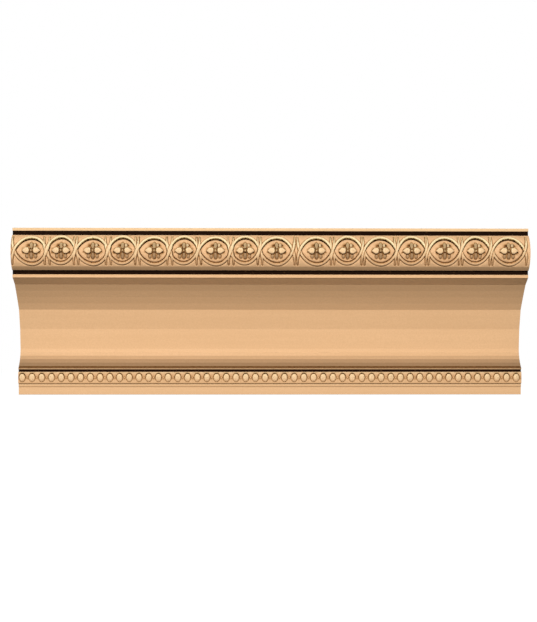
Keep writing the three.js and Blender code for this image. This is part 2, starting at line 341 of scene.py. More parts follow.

# Painted light as shares of a full coat: shade, neutral shade and highlights, and where each starts and
# ends.
UPPER_PIT = 0.9
LOWER_PIT = 0.4
# Painted shade on the leaves' petals, lobes and cut lines, and neutral painted shade on petals and lobes.
PETAL_SHADE = (0.22, 0.12)
LOBE_SHADE = 0.06
PETAL_LINE_SHADE = 0.26
LOBE_LINE_SHADE = 0.33
PETAL_NEUTRAL_SHADE = (0.38, 0.46)
LOBE_NEUTRAL_SHADE = (0.28, 0.4)
# Painted shadow under the rings' upper rims, and painted shade on the tapering legs.
RIM_SHADOW = 0.5
RIM_FADE = (0.4, 0.65)
RIM_OFFSET = 0.6
RIM_SPREAD = 1.2
TAIL_SHADE = 0.4
# Neutral painted shade along the half-round's lower edge, on the ground near its top and on lower strands.
STRIP_NEUTRAL_SHADE = 0.34
STRIP_FADE = 0.4 * MM
GROUND_NEUTRAL_SHADE = 0.1
GROUND_FADE = 0.6
STRAND_NEUTRAL_SHADE = 0.06
STRAND_FLANK = (0.6, 1.0)
# Painted shade between the beads and in their cut lines, strongest over their tops, and under them.
BEAD_GAP_SHADE = 0.4
BEAD_LINE_SHADE = 0.52
BEAD_TOP_SHADOW = 0.36
BEAD_FOOT_SHADE = 0.2
BEAD_FOOT_FADE = 1.0 * MM
BEAD_GAP_REACH = 0.7
RELIEF_GRID = 0.25 * MM
# Painted shade from the relief: in hollows, on steep sides, and as a cast shadow in the lee under raised
# parts.
HOLLOW_SPREAD = 0.6 * MM
HOLLOW_DEPTH = 0.45 * MM
HOLLOW_START = 0.12
HOLLOW_SHADE = 0.65
STEEP_SPREAD = 0.8
STEEP_SLOPES = (0.9, 2.6)
STEEP_SHADE = 0.35
LEE_CELLS = 3
LEE_DROPS = (0.4 * MM, 1.8 * MM)
LEE_SHADOW = 0.95
# Painted highlights: on convex crests in the upper band, on raised tops in the upper half, along the bead
# band's top edge.
CREST_START = 0.1
CREST_BAND = (-0.15, 0.5)
RAISED_HIGHLIGHT_BAND = (-0.45, -0.05)
RAISED_HIGHLIGHT_RELIEF = (0.5 * MM, 1.2 * MM)
RAISED_HIGHLIGHT = 0.2
HIGHLIGHT_BORDER = (0.9 * MM, 0.3 * MM)
BEAD_BORDER_HIGHLIGHT = 0.35
# Section line: painted shade in quirks and at edges, painted highlights on fillets, neutral shade on lip and
# cove.
QUIRK_SHADE = 1.0
MOUTH_SHADE = 0.9
FILLET_SHADE = 0.08
FILLET_HIGHLIGHT = 0.2
FOOT_FILLET_SHADE = 0.02
FOOT_FILLET_HIGHLIGHT = 0.1
FOOT_QUIRK_SHADE = 0.6
BAND_FOOT_SHADE = 0.3
BAND_TOP_SHADE = 0.05
LIP_BOTTOM_SHADES = (0.2, 0.3)
LIP_TOP_SHADES = (0.1, 0.38)
LIP_BACK_SHADES = (0.66, 0.46)
FLARE_NEUTRAL_SHADE = 0.6
FLARE_FADE = (0.05, 0.9)
THROAT_NEUTRAL_SHADE = 0.2
UPPER_EDGE_NEUTRAL_SHADE = 0.12
LOWER_EDGE_NEUTRAL_SHADE = 0.36

# Timber: stretch along the grain, scale and detail of each pattern, and the ranges and weights that show.
GRAIN_STRETCH = (4.0, 150.0, 150.0)
FIBRE_STRETCH = (60.0, 1500.0, 1500.0)
GRAIN = (1.0, 4.0)
FIBRES = (1.0, 2.0)
CLOUDS = (9.0, 3.0)
SPECKS = (420.0, 3.0)
PORES = (700.0, 2.0)
GROWTH_RINGS = {"Scale": 95.0, "Distortion": 3.0, "Detail": 2.0, "Detail Scale": 1.2}
PATTERN_ROUGHNESS = 0.6
GRAIN_RANGE = (0.38, 0.64)
GRAIN_SHARES = (0.7, 0.3)
GRAIN_WEIGHT = 0.45
SAWN_WEIGHT = 0.6
CLOUD_RANGE = (0.35, 0.75)
CLOUD_WEIGHT = 0.2
PORE_RANGE = (0.35, 0.65)
PORE_WEIGHT = 0.6
RING_WEIGHTS = (0.15, 0.75)
# Strength of the painted highlight.
HIGHLIGHT_WEIGHT = 0.9
PATCH_RANGE = (0.3, 0.7)
PATCH_WEIGHTS = (0.95, 1.2)
# Ramp stops of the painted shade's brown tints.
THIN_SHADE_STOP = 0.5
DEEP_SHADE_STOP = 0.8
SATIN_SHARES = (0.5, 0.5)
SATIN_RANGE = (0.2, 0.8)
SATIN_SPREAD = (-0.07, 0.13)
# Extra roughness where the painted shade lies.
SHADE_PAINT_ROUGHNESS = 0.4
SURFACE_SHARES = (0.6, 0.25)
BUMP_STRENGTHS = (0.10, 0.35)
BUMP_DEPTH = 0.6 * MM

# Studio: the floor's look, and the directions that the fill lights shine from.
FLOOR_PATTERN = (1.5, 2.0)
FLOOR_SHADES = ((0.86, 0.86, 0.86), (0.9, 0.9, 0.9))
FLOOR_ROUGHNESS = 0.9
WHITE = (1.0, 1.0, 1.0)
FRONT = Vector((0.0, -1.0, 0.0))
REAR_RIGHT = Vector((0.5, 0.75, 0.45)).normalized()
REAR_LEFT = Vector((-0.85, 0.45, 0.25)).normalized()


def smooth_step(low, high, value):
    """Rises smoothly from 0 at low to 1 at high."""
    share = np.clip((value - low) / (high - low), 0.0, 1.0)
    return share * share * (3.0 - 2.0 * share)


def dome(reach):
    """Half-round profile: 1 at the middle, 0 where reach is 1 or more."""
    return np.sqrt(np.clip(1.0 - reach * reach, 0.0, 1.0))


def flat_dome(reach):
    """Cushion profile: nearly flat on top, falling steeply to 0 where reach is 1."""
    return np.sqrt(np.clip(1.0 - reach ** 4, 0.0, 1.0))


def bell(distance, half):
    """Soft bump of the given half width."""
    return np.exp(-(distance / half) ** 2)


def pairs(first, second):
    """Points from two coordinates, either of which may be one number for all of them."""
    return np.column_stack(np.broadcast_arrays(first, second))


def placed(along, depth, level):
    """Places in the frame from a depth forward of the back and a level above the foot."""
    return np.column_stack(np.broadcast_arrays(along, CAD_HIGH.y - depth, CAD_LOW.z + level))


def round_half(section):
    """Half the height of the half-round."""
    return (section.round_top - section.round_bottom) / 2


class HalfRound:
    """The half-round of the section: where a carved point lies on it."""

    def __init__(self, section):
        self.radius = section.round_radius
        self.level = (section.round_bottom + section.round_top) / 2
        self.half_angle = math.asin(round_half(section) / self.radius)
        self.axis_depth = section.round_edge_depth - self.radius * math.cos(self.half_angle)
        self.carved_angle = self.half_angle - ROUND_MARGIN * section.easing / self.radius
        self.reach = self.carved_angle * self.radius

    def up(self, girth):
        """Height seen from the front, from the girth measured round the surface."""
        return self.radius * np.sin(girth / self.radius)

    def girth(self, up):
        """Girth round the surface from the height seen from the front."""
        return self.radius * np.arcsin(np.clip(up / self.radius, -1.0, 1.0))

    def lift(self, points, relief):
        """Carved points (along, girth) as places in the frame."""
        turn = points[:, 1] / self.radius
        depth = self.axis_depth + (self.radius + relief) * np.cos(turn)
        level = self.level + (self.radius + relief) * np.sin(turn)
        return placed(points[:, 0], depth, level)


class BeadBand:
    """The flat band that carries the beads."""

    def __init__(self, section):
        self.depth = section.bead_band_depth
        self.level = (section.bead_band_bottom + section.bead_band_top) / 2
        half = (section.bead_band_top - section.bead_band_bottom) / 2
        self.reach = half - BAND_MARGIN * section.easing

    def lift(self, points, relief):
        """Carved points (along, height on the band) as places in the frame."""
        return placed(points[:, 0], self.depth + relief, self.level + points[:, 1])


def ring_middles(rings):
    """Middle of every ring, and whether it is a round one."""
    runs = ((rings.first_start, rings.first_pitch, rings.first_count),
            (rings.second_start, rings.second_pitch, rings.second_count))
    for start, pitch, count in runs:
        for index in range(count):
            is_round = index % 2 == 1
            yield start + pitch * (index // 2 + is_round * rings.round_share), is_round


def ring_arches(rings):
    """Both arches of every ring, as (side, middle, left half, right half, rise).
    The side is 1 for the upright arch and -1 for the inverted one."""
    wide = (rings.wide_upright, rings.wide_shift, rings.wide_inverted)
    round_ = (rings.round_upright, rings.round_shift, rings.round_inverted)
    for middle, is_round in ring_middles(rings):
        upright, shift, inverted = round_ if is_round else wide
        yield (1.0, middle, *upright), (-1.0, middle + shift, *inverted)


def arch_distance(along, up, arch, rings):
    """Signed distance from an arch's middle line, negative inside it, the same past its legs' ends, how far
    its legs have tapered, and where its left half is."""
    side, middle, left_half, right_half, rise = arch
    across = along - middle
    half = np.where(across < 0.0, left_half, right_half)
    tall = rings.arch_spring + rise
    above = side * (up - rings.rise)
    over = above + rings.arch_spring
    size = np.sqrt((across / half) ** 2 + (over / tall) ** 2) + TINY
    slope = np.sqrt((across / half ** 2) ** 2 + (over / tall ** 2) ** 2) / size + TINY
    beside = np.where(over > 0.0, (size - 1.0) / slope, np.abs(across) - half)
    past = np.clip(-above - rings.leg_end, 0.0, None)
    taper = rings.leg_taper * smooth_step(TAPER_START * rings.arch_spring, rings.leg_end, -above)
    return beside, np.hypot(beside, past), taper, across < 0.0


class Strands:
    """Strands of the chain at a set of points: those that rise to the right, and those that fall."""

    def __init__(self, along, up, rings):
        self.rising = np.full(along.shape, FAR)
        self.falling = np.full(along.shape, FAR)
        self.rising_height = np.zeros(along.shape)
        self.falling_height = np.zeros(along.shape)
        self.tail = np.zeros(along.shape)
        self.inside = np.full(along.shape, -FAR)
        for upright, inverted in ring_arches(rings):
            over, *over_strand = arch_distance(along, up, upright, rings)
            under, *under_strand = arch_distance(along, up, inverted, rings)
            self.add_halves(rings.strand_half, over_strand, 1.0)
            self.add_halves(rings.strand_half, under_strand, -1.0)
            self.inside = np.maximum(self.inside, -np.maximum(over, under))
        self.nearest = np.minimum(self.rising, self.falling)

    def add_halves(self, strand_half, strand, side):
        """Adds the two halves of an arch. The left half of an upright arch rises."""
        gap, taper, is_left = strand
        half = strand_half * (1.0 - taper)
        height = (1.0 - taper) * dome(gap / half)
        tail = taper * smooth_step(TAIL_OUTER * half, TAIL_INNER * half, gap)
        self.tail = np.maximum(self.tail, tail)
        gap = gap - half + strand_half
        rises = is_left == (side > 0.0)
        self.rising = np.minimum(self.rising, np.where(rises, gap, FAR))
        self.falling = np.minimum(self.falling, np.where(rises, FAR, gap))
        self.rising_height = np.maximum(self.rising_height, np.where(rises, height, 0.0))
        self.falling_height = np.maximum(self.falling_height, np.where(rises, 0.0, height))


def bud_half_width(out, flower):
    """Half width of a bud at a distance out from the rosette's middle: a drop with a drawn-out point."""
    middle = flower.bud_tip - flower.bud_length + flower.bud_radius
    body = flower.bud_radius * flat_dome(np.clip((middle - out) / flower.bud_radius, 0.0, 1.0))
    share = np.clip((out - middle) / (flower.bud_tip - middle), 0.0, 1.0)
    drawn = 0.5 + 0.5 * np.cos(np.pi * share)
    point = flower.bud_radius * (BUD_FULLNESS * (1.0 - share ** 2) + (1.0 - BUD_FULLNESS) * drawn)
    return np.where(out < middle, body, point)


def leaf_lobes(flower):
    """Middles of the side lobes: one over the button, two under it."""
    lower = Vector(flower.lower_lobe)
    return Vector(flower.upper_lobe), lower, lower * MIRRORED


def leaf_pits(flower):
    """The pits beside the petals: middle, half width, half height, lean to the right and depth of each."""
    lean = flower.upper_pit_lean
    lower = Vector(flower.lower_pit)
    yield Vector(flower.left_pit), flower.left_pit_half, flower.upper_pit_reach, lean, UPPER_PIT
    yield Vector(flower.right_pit), flower.right_pit_half, flower.upper_pit_reach, -lean, UPPER_PIT
    for middle in (lower, lower * MIRRORED):
        yield middle, flower.lower_pit_half, flower.lower_pit_reach, 0.0, LOWER_PIT


class Leaves:
    """The two leaves of a rosette at a set of points: their petals, side lobes and pits."""

    def __init__(self, across, up, flower):
        self.flower = flower
        self.is_upper = up > 0.0
        above = np.abs(up) - flower.petal_up
        self.petal = np.hypot(across / flower.petal_half, above / flower.petal_reach)
        self.lobe = np.full(across.shape, FAR / flower.lobe_half)
        self.pit = np.zeros(across.shape)
        for middle in leaf_lobes(flower):
            aside, above = across - middle.x, up - middle.y
            reach = np.hypot(aside / flower.lobe_half, above / flower.lobe_reach)
            self.lobe = np.minimum(self.lobe, reach)
        for middle, half, reach, lean, depth in leaf_pits(flower):
            aside, above = across - middle.x, up - middle.y
            crossways = aside * math.cos(lean) - above * math.sin(lean)
            lengthways = aside * math.sin(lean) + above * math.cos(lean)
            gap = np.hypot(crossways / half, lengthways / reach)
            self.pit = np.maximum(self.pit, depth * bell(gap, 1.0))
        self.petal_line = self.line(self.petal, flower.petal_half)
        self.lobe_line = self.line(self.lobe, flower.lobe_half)

    def line(self, reach, half):
        """The cut line round a petal or lobe: 1 at its deepest."""
        width = self.flower.moat_half
        return bell((reach - 1.0) * half - LINE_OFFSET * width, width)

    def relief(self):
        """Height of the petals and lobes."""
        return self.flower.leaf_relief * np.maximum(dome(self.petal), LOBE_SHARE * dome(self.lobe))

    def moat(self):
        """Depth of the cut lines and pits beside the petals and lobes."""
        lines = np.maximum(self.petal_line, LOBE_LINE_SHARE * self.lobe_line)
        return self.flower.leaf_moat * np.maximum(lines, self.pit)

    def drawn_shade(self):
        """Painted shade on the petals and lobes, in the pits and in the cut lines."""
        tops = np.where(self.petal < 1.0, np.where(self.is_upper, *PETAL_SHADE), LOBE_SHADE)
        lines = np.maximum(PETAL_LINE_SHADE * self.petal_line, LOBE_LINE_SHADE * self.lobe_line)
        return np.where(np.minimum(self.petal, self.lobe) < 1.0, tops, np.maximum(lines, self.pit))

    def neutral_shade(self):
        """Neutral painted shade on the petals and lobes."""
        petals = np.where(self.is_upper, *PETAL_NEUTRAL_SHADE)
        lobes = np.where(self.is_upper, *LOBE_NEUTRAL_SHADE)
        return np.where(self.petal < 1.0, petals, np.where(self.lobe < 1.0, lobes, 0.0))


def rosette_places(along, up, settings):
    """Where each rosette reaches, and the points there from its middle, across and up."""
    rings = settings.rings
    for middle, _is_round in ring_middles(rings):
        near = np.abs(along - middle) < settings.rosette.bud_tip
        yield near, along[near] - middle, up[near] - rings.rise


def rosette_relief(across, up, flower):
    """Height of the rosette over the ring's field, and the cut lines round its leaves where it has none."""
    half = np.maximum(bud_half_width(np.abs(across), flower), THINNEST_BUD)
    buds = flower.bud_relief * (half / flower.bud_radius) ** BUD_CREST * flat_dome(np.abs(up) / half)
    button = flower.button_relief * dome(np.hypot(across / flower.button_half, up / flower.button_reach))
    leaves = Leaves(across, up, flower)
    raised = np.maximum.reduce((buds, leaves.relief(), button))
    return np.where(raised > 0.0, raised, -leaves.moat())


def chain_relief(along, up, settings):
    """Height of the carving over the half-round, as the strands, fields and rosettes make it."""
    rings = settings.rings
    half = rings.strand_half
    strands = Strands(along, up, rings)
    lift = rings.strand_relief + rings.crossing_lift * bell(strands.falling, 2 * half)
    upper = lift * strands.rising_height
    clear = smooth_step(DIP_START * half, half + rings.crossing_gap, strands.rising)
    lower = rings.strand_relief * (1.0 - rings.crossing_dip * (1.0 - clear)) * strands.falling_height
    field = -rings.field_sink * smooth_step(FIELD_RIM * half, half + rings.groove_half, strands.inside)
    field = field + rings.field_crown * smooth_step(half, FIELD_CROWN_REACH * half, strands.inside)
    line = bell(strands.nearest - half - LINE_OFFSET * rings.groove_half, rings.groove_half)
    ground = field - rings.groove_depth * line
    relief = np.where(strands.nearest < half, np.maximum.reduce((upper, lower, field)), ground)
    for near, across, above in rosette_places(along, up, settings):
        raised = rosette_relief(across, above, settings.rosette)
        relief[near] = np.where(raised > 0.0, field[near] + raised, relief[near] + raised)
    return relief


def leaf_shade_places(along, up, settings):
    """Where each rosette reaches, and its leaves there, with 0 on the buds and 1 off them."""
    flower = settings.rosette
    for near, across, above in rosette_places(along, up, settings):
        off_bud = np.abs(above) > bud_half_width(np.abs(across), flower)
        yield near, Leaves(across, above, flower), off_bud


def chain_drawn_shade(along, up, settings):
    """Painted shade on the half-round besides the hollows': shadow under the upper rims, shade on the legs
    and in the leaves.
    """
    rings = settings.rings
    strands = Strands(along, up, rings)
    rim = strands.inside - rings.strand_half - RIM_OFFSET * rings.groove_half
    rim = bell(rim, RIM_SPREAD * rings.groove_half)
    start, full = (share * round_half(settings.section) for share in RIM_FADE)
    drawn_shade = RIM_SHADOW * rim * smooth_step(start, full, up) + TAIL_SHADE * strands.tail
    for near, leaves, off_bud in leaf_shade_places(along, up, settings):
        drawn_shade[near] += off_bud * leaves.drawn_shade()
    return drawn_shade


def strip_edges(section):
    """Heights between which the painted shade strip along the half-round's lower edge fades out."""
    upper = section.shade_strip_width - round_half(section)
    return upper - STRIP_FADE, upper


def chain_neutral_shade(along, up, settings):
    """Neutral painted shade on the half-round: along its lower edge, on the ground near its top, the lower
    strands and the leaves.
    """
    strands = Strands(along, up, settings.rings)
    half = round_half(settings.section)
    bare = smooth_step(*STRAND_FLANK, strands.nearest / settings.rings.strand_half)
    full, none = strip_edges(settings.section)
    neutral_shade = STRIP_NEUTRAL_SHADE * smooth_step(none, full, up)
    neutral_shade += GROUND_NEUTRAL_SHADE * bare * smooth_step(GROUND_FADE * half, half, up) * (strands.inside < 0.0)
    neutral_shade += STRAND_NEUTRAL_SHADE * (1.0 - bare) * smooth_step(0.0, half / 2, -up)
    for near, leaves, off_bud in leaf_shade_places(along, up, settings):
        neutral_shade[near] += off_bud * leaves.neutral_shade()
    return neutral_shade


class Beads:
    """The bead nearest to each of a set of points: its reach, 1 at its edge, its cut line and its link."""

    def __init__(self, along, up, beads):
        start = CAD_LOW.x + beads.first
        nearest = np.clip(np.rint((along - start) / beads.pitch), 0, beads.count - 1)
        across = along - start - nearest * beads.pitch
        self.above = up - beads.rise
        self.between = np.abs(across) - beads.pitch / 2
        self.reach = np.hypot(across / beads.bead_half, self.above / beads.bead_reach)
        edge = (self.reach - 1.0) * np.sqrt(beads.bead_half * beads.bead_reach)
        self.line = bell(edge - BEAD_LINE_OFFSET * beads.groove_half, beads.groove_half)
        self.link = dome(np.hypot(self.between / beads.link_half, self.above / beads.link_reach))


def bead_relief(along, up, settings):
    """Height of the beads, their cut lines and links over the band."""
    row = settings.beads
    beads = Beads(along, up, row)
    ground = np.maximum(row.link_relief * beads.link, -row.groove_depth * beads.line)
    return np.where(beads.reach < 1.0, row.relief * flat_dome(beads.reach), ground)


def bead_drawn_shade(along, up, settings):
    """Painted shade between the beads, in the cut lines round them, strongest over their tops, and under
    them.
    """
    row = settings.beads
    beads = Beads(along, up, row)
    tall = row.bead_reach
    gap = bell(beads.between, 2 * row.link_half) * bell(beads.above, BEAD_GAP_REACH * tall)
    gap = gap * (1.0 - beads.link)
    line = (BEAD_LINE_SHADE + BEAD_TOP_SHADOW * beads.above / tall) * beads.line
    foot = BEAD_FOOT_SHADE * smooth_step(tall, tall + BEAD_FOOT_FADE, -beads.above)
    return np.where(beads.reach < 1.0, line, np.maximum.reduce((line, BEAD_GAP_SHADE * gap, foot)))


def blurred(field, spread):
    """Soft copy of a grid, blurred over the given number of cells."""
    reach = int(3 * spread) + 1
    offsets = np.arange(-reach, reach + 1)
    weights = np.exp(-0.5 * (offsets / spread) ** 2)
    weights /= weights.sum()
    for axis in (0, 1):
        around = [(reach, reach) if side == axis else (0, 0) for side in (0, 1)]
        wide = np.pad(field, around, mode="edge")
        size = field.shape[axis]
        field = sum(weight * np.take(wide, range(step, step + size), axis=axis)
                    for step, weight in enumerate(weights))
    return field


def wash_map(points, reach, relief_at, drawn_shade_at, border_highlight):
    """Painted shade and highlights at each point: shade in hollows, on steep sides and in the lee as cast
    shadow, highlights on crests.
    """
    columns = np.arange(CAD_LOW.x, CAD_HIGH.x + RELIEF_GRID, RELIEF_GRID)
    rows = np.arange(-reach, reach + RELIEF_GRID, RELIEF_GRID)
    along, girth = (grid.ravel() for grid in np.meshgrid(columns, rows))
    shape = (len(rows), len(columns))
    relief = relief_at(along, girth).reshape(shape)
    wash = drawn_shade_at(along, girth).reshape(shape)
    hollow = blurred(relief, HOLLOW_SPREAD / RELIEF_GRID) - relief
    steep = blurred(np.hypot(*np.gradient(relief, RELIEF_GRID)), STEEP_SPREAD)
    above = np.vstack((relief[LEE_CELLS:], np.zeros((LEE_CELLS, len(columns)))))
    lee = np.clip(above - relief, 0.0, None)
    wash += HOLLOW_SHADE * np.clip(hollow / HOLLOW_DEPTH - HOLLOW_START, 0.0, 1.0)
    wash += STEEP_SHADE * smooth_step(*STEEP_SLOPES, steep) + LEE_SHADOW * smooth_step(*LEE_DROPS, lee)
    high, middle = (smooth_step(low * reach, full * reach, rows)[:, None]
                    for low, full in (CREST_BAND, RAISED_HIGHLIGHT_BAND))
    highlight_amount = np.clip(-hollow / HOLLOW_DEPTH - CREST_START, 0.0, 1.0) * high
    highlight_amount += RAISED_HIGHLIGHT * middle * smooth_step(*RAISED_HIGHLIGHT_RELIEF, relief)
    highlight_amount += border_highlight * smooth_step(*(reach - margin for margin in HIGHLIGHT_BORDER), rows)[:, None]
    spot = np.rint((points - (CAD_LOW.x, -reach)) / RELIEF_GRID).astype(int)
    column = np.clip(spot[:, 0], 0, len(columns) - 1)
    row = np.clip(spot[:, 1], 0, len(rows) - 1)
    return np.clip(wash, 0.0, 1.0)[row, column], np.clip(highlight_amount, 0.0, 1.0)[row, column]


def arch_points(arch, rings):
    """Points beside one arch of a ring, on lines that follow the strand."""
    side, middle, left_half, right_half, rise = arch
    tall = rings.arch_spring + rise
    widest = max(left_half, right_half)
    steps = int(math.pi * math.hypot(widest, tall) / math.sqrt(2) / STRAND_STEP)
    turn = np.linspace(math.pi, 0.0, steps)
    half = np.where(turn > math.pi / 2, left_half, right_half)
    crown = pairs(half * np.cos(turn), tall * np.sin(turn) - rings.arch_spring)
    normal = pairs(np.cos(turn) / half, np.sin(turn) / tall)
    normal /= np.linalg.norm(normal, axis=1, keepdims=True)
    legs = np.arange(rings.arch_spring + STRAND_STEP, rings.leg_end + 2 * rings.strand_half, STRAND_STEP)
    points = []
    for line in STRAND_LINES:
        for offset in (line * rings.strand_half, -line * rings.strand_half)[:1 + (line > 0.0)]:
            points.append(crown + offset * normal)
            points.append(pairs(-left_half - offset, -legs))
            points.append(pairs(right_half + offset, -legs))
    return np.vstack(points) * (1.0, side) + (middle, rings.rise)


def oval_points(half, reach, lines, sides):
    """Points on ovals inside each other, the first a single middle point where its size is nought."""
    turn = np.linspace(0.0, 2 * math.pi, sides, endpoint=False)
    oval = pairs(half * np.cos(turn), reach * np.sin(turn))
    return np.vstack([oval * line + (OVAL_SHIFT * line * half, 0.0) for line in lines])


def bud_points(flower):
    """Points on lines round both buds."""
    turn = np.linspace(0.0, math.pi, PETAL_SIDES // 2)
    middle = flower.bud_tip - flower.bud_length / 2
    out = middle - flower.bud_length / 2 * np.cos(turn)
    width = bud_half_width(out, flower)
    edge = np.vstack((pairs(out, width), pairs(out, -width)))
    bud = np.vstack([(middle, 0.0) + (edge - (middle, 0.0)) * line for line in PETAL_LINES])
    return np.vstack((bud, bud * (-1.0, 1.0)))


def rosette_points(flower):
    """Points on lines round every part of a rosette, about its middle."""
    petal = oval_points(flower.petal_half, flower.petal_reach, LOBE_LINES, LOBE_SIDES)
    petal = petal + (0.0, flower.petal_up)
    lobe = oval_points(flower.lobe_half, flower.lobe_reach, LOBE_LINES, LOBE_SIDES)
    lobes = [lobe + tuple(middle) for middle in leaf_lobes(flower)]
    button = oval_points(flower.button_half, flower.button_reach, LOBE_LINES, LOBE_SIDES // 2)
    pits = []
    for middle, half, reach, lean, _depth in leaf_pits(flower):
        turned = ((math.cos(lean), -math.sin(lean)), (math.sin(lean), math.cos(lean)))
        pits.append(oval_points(half, reach, LINK_LINES, LINK_SIDES) @ np.array(turned) + tuple(middle))
    return np.vstack((bud_points(flower), petal, petal * (1.0, -1.0), *lobes, button, *pits))


def chain_points(settings, curve):
    """Points (along, girth) for the half-round's carving and the stained strip under it."""
    rings = settings.rings
    rosette = rosette_points(settings.rosette)
    points = []
    for arches in ring_arches(rings):
        points += [arch_points(arch, rings) for arch in arches]
    points += [rosette + (middle, rings.rise) for middle, _is_round in ring_middles(rings)]
    along = np.arange(CAD_LOW.x, CAD_HIGH.x, FILL_STEP)
    points += [pairs(along, up) for up in strip_edges(settings.section)]
    points = np.vstack(points)
    return pairs(points[:, 0], curve.girth(points[:, 1]))


def bead_points(beads):
    """Points (along, height on the band) for the beads and their links."""
    bead = oval_points(beads.bead_half, beads.bead_reach, BEAD_LINES, BEAD_SIDES)
    link = oval_points(beads.link_half, beads.link_reach, LINK_LINES, LINK_SIDES) + (beads.pitch / 2, 0.0)
    middles = CAD_LOW.x + beads.first + beads.pitch * np.arange(beads.count)
    return np.vstack([shape + (middle, beads.rise) for middle in middles for shape in (bead, link)])


def thinned(points, border, reach):
    """Leaves out points at the border or closer together than the least gap, in a fixed order."""
    margin = 2 * LEAST_GAP
    inner = (np.abs(points[:, 1]) < reach - margin) & (points[:, 0] > CAD_LOW.x + margin)
    points = points[inner & (points[:, 0] < CAD_HIGH.x - margin)]
    cells = np.rint(points / LEAST_GAP).astype(np.int64)
    _kept, first = np.unique(cells, axis=0, return_index=True)
    return np.vstack((border, points[np.sort(first)]))


def fill_points(points, reach):
    """Points of an open pattern for the ground, where the carving has none."""
    columns = np.arange(CAD_LOW.x + FILL_STEP, CAD_HIGH.x, FILL_STEP)
    rows = np.arange(-reach + FILL_STEP / 2, reach, FILL_STEP)
    along, girth = np.meshgrid(columns, rows)
    along = along + np.where(np.arange(len(rows)) % 2, FILL_STEP / 2, 0.0)[:, None]
    pattern = pairs(along.ravel(), girth.ravel())
    taken = {tuple(cell) for cell in np.floor(points / FILL_STEP).astype(int).tolist()}
    cells = np.floor(pattern / FILL_STEP).astype(int).tolist()
    return pattern[[tuple(cell) not in taken for cell in cells]]


class CarvedPanel:
    """A carved part of the front: its points, triangles, painted shade and highlights, and its border."""

    def __init__(self, points, reach, columns):
        ends = np.arange(-reach, reach, EDGE_STEP)[1:]
        border = np.vstack((pairs(columns, -reach), pairs(columns, reach),
                            pairs(columns[0], ends), pairs(columns[-1], ends)))
        points = np.vstack((points, fill_points(points, reach)))
        self.flat = thinned(points, border, reach)
        corners = [Vector(point) for point in self.flat.tolist()]
        made = delaunay_2d_cdt(corners, [], [], 0, LEAST_GAP * MERGE_SHARE)
        sources = [origin[0] for origin in made[3]]
        self.faces = [tuple(sources[corner] for corner in face) for face in made[2]]
        width = len(columns)
        low, high, left, right = np.split(np.arange(len(border)), (width, 2 * width, 2 * width + len(ends)))
        self.lower = low.tolist()
        self.upper = high.tolist()
        self.left = [self.lower[0], *left.tolist(), self.upper[0]]
        self.right = [self.lower[-1], *right.tolist(), self.upper[-1]]

    def carve(self, form, relief_at, drawn_shade_at, neutral_shade_at, border_highlight):
        """Gives the points their places, flat along the two long borders, and their painted shade and
        highlights.
        """
        along, height = self.flat.T
        relief = relief_at(along, height)
        relief[self.lower + self.upper] = 0.0
        self.places = form.lift(self.flat, relief)
        self.wash, self.highlight_amount = wash_map(self.flat, form.reach, relief_at, drawn_shade_at, border_highlight)
        self.neutral_shade = neutral_shade_at(along, height)
        return self


def carved_chain(settings, curve, columns):
    """The half-round with its rings and rosettes."""
    def on_round(function):
        return lambda along, girth: function(along, curve.up(girth), settings)

    panel = CarvedPanel(chain_points(settings, curve), curve.reach, columns)
    return panel.carve(curve, on_round(chain_relief), on_round(chain_drawn_shade), on_round(chain_neutral_shade), 0.0)


def carved_beads(settings, band, columns):
    """The bead band with its beads and links."""
    def on_band(function):
        return lambda along, up: function(along, up, settings)

    def no_neutral_shade(along, _up):
        return np.zeros_like(along)

    panel = CarvedPanel(bead_points(settings.beads), band.reach, columns)
    return panel.carve(band, on_band(bead_relief), on_band(bead_drawn_shade), no_neutral_shade, BEAD_BORDER_HIGHLIGHT)


def eased(corners, easing):
    """Rounds the corners of a section line. A corner is a depth, a level, and its painted shade, neutral
    shade and highlight.
    """
    corners = np.array([(*corner, 0.0, 0.0, 0.0)[:5] for corner in corners])
    rows = [corners[0]]
    for before, corner, after in zip(corners, corners[1:], corners[2:]):
        into = before[:2] - corner[:2]
        out = after[:2] - corner[:2]
        into_length, out_length = np.linalg.norm(into), np.linalg.norm(out)
        if abs(into @ out) > STRAIGHT * into_length * out_length:
            rows.append(corner)
            continue
        cut = min(easing, LONGEST_EASING * into_length, LONGEST_EASING * out_length)
        start = corner[:2] + into * cut / into_length
        end = corner[:2] + out * cut / out_length
        for share in EASED_SHARES:
            rows.append(np.append(bent(start, corner[:2], end, share), corner[2:]))
    rows.append(corners[-1])
    return np.array(rows)


def bent(start, control, end, share):
    """Spots at a share of the way along a curve that starts and ends towards a control point."""
    return (1 - share) ** 2 * start + 2 * share * (1 - share) * control + share ** 2 * end


def swept(start, control, end, flats, neutral_shade_at):
    """Both ends of the flats that follow a curve in the section, each flat with one neutral painted shade.
    """
    first = np.arange(flats)[:, None]
    share = ((first + (FLAT_SEAM, 1.0)) / flats).reshape(-1, 1)
    middle = np.repeat((first + 0.5) / flats, 2, axis=0)
    curve = bent(np.array(start), np.array(control), np.array(end), share)
    return np.hstack((curve, np.zeros_like(middle), neutral_shade_at(middle))).tolist()


def round_edge(curve, side, neutral_shade):
    """The plain strip between the carving and the edge of the half-round."""
    turns = np.linspace(curve.carved_angle, curve.half_angle, 3) * side
    depths = curve.axis_depth + curve.radius * np.cos(turns)
    levels = curve.level + curve.radius * np.sin(turns)
    return [(depth, level, 0.0, neutral_shade) for depth, level in zip(depths, levels)]


